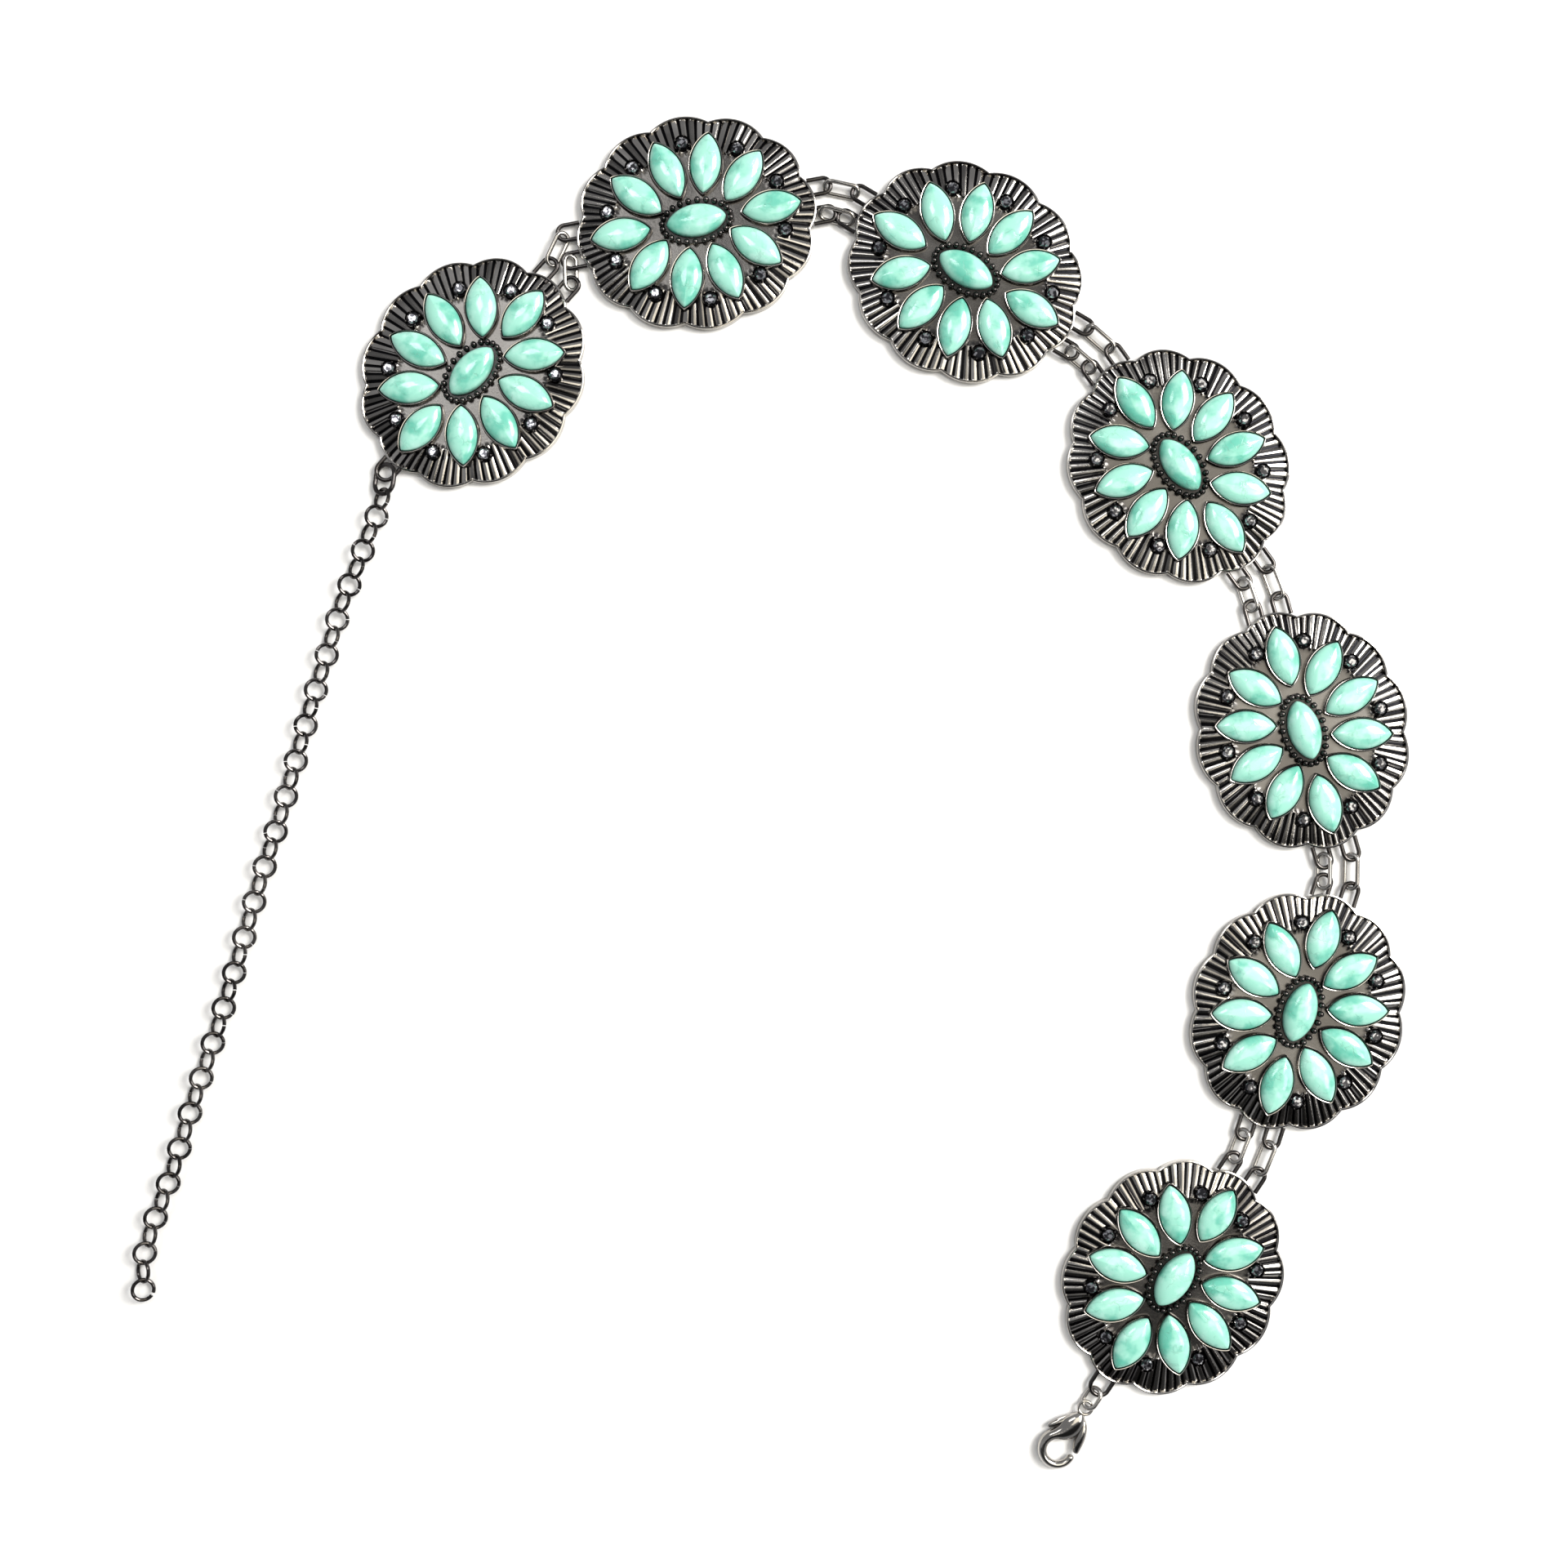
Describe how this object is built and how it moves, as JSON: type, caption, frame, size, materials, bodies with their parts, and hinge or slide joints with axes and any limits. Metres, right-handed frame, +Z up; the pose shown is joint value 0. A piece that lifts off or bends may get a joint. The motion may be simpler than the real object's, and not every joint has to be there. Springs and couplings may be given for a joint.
{
  "type": "concho belt",
  "caption": "Belt of scalloped oval flower conchos set with turquoise, joined by paired oval links, with a lobster clasp and an extender chain.",
  "frame": {"origin": "on the surface that the belt lies on, under the middle of its outline seen from above", "axes": "+Z up from that surface, +Y from the clasp's end of the belt towards the conchos at the top of the arch, +X from the chain towards the conchos"},
  "size_m": [0.3924, 0.4158, 0.008],
  "materials": {
    "gunmetal": "polished dark plating on cast metal",
    "turquoise": "polished cabochon"
  },
  "bodies": {
    "main": {"concho_1": "gunmetal", "concho_2": "gunmetal", "concho_3": "gunmetal", "concho_4": "gunmetal", "concho_5": "gunmetal", "concho_6": "gunmetal", "concho_7": "gunmetal", "centre_stone_1": "turquoise", "centre_stone_2": "turquoise", "centre_stone_3": "turquoise", "centre_stone_4": "turquoise", "centre_stone_5": "turquoise", "centre_stone_6": "turquoise", "centre_stone_7": "turquoise", "link_1_left": "gunmetal", "link_1_right": "gunmetal", "link_2_left": "gunmetal", "link_2_right": "gunmetal", "link_3_left": "gunmetal", "link_3_right": "gunmetal", "link_4_left": "gunmetal", "link_4_right": "gunmetal", "link_5_left": "gunmetal", "link_5_right": "gunmetal", "link_6_left": "gunmetal", "link_6_right": "gunmetal", "chain_jump_ring": "gunmetal", "extender_chain": "gunmetal", "clasp_jump_ring": "gunmetal", "clasp_body": "gunmetal"},
    "lever": {"clasp_lever": "gunmetal"}
  },
  "joints": [
    {"name": "clasp_lever_hinge", "type": "hinge", "parent": "main", "child": "lever", "pos_m": [0.09357, -0.19612, 0.002], "axis": [0, 0, -1], "range_deg": [0, 25], "stiffness_Nm_per_rad": 0.06, "springref_deg": -11.46}
  ]
}
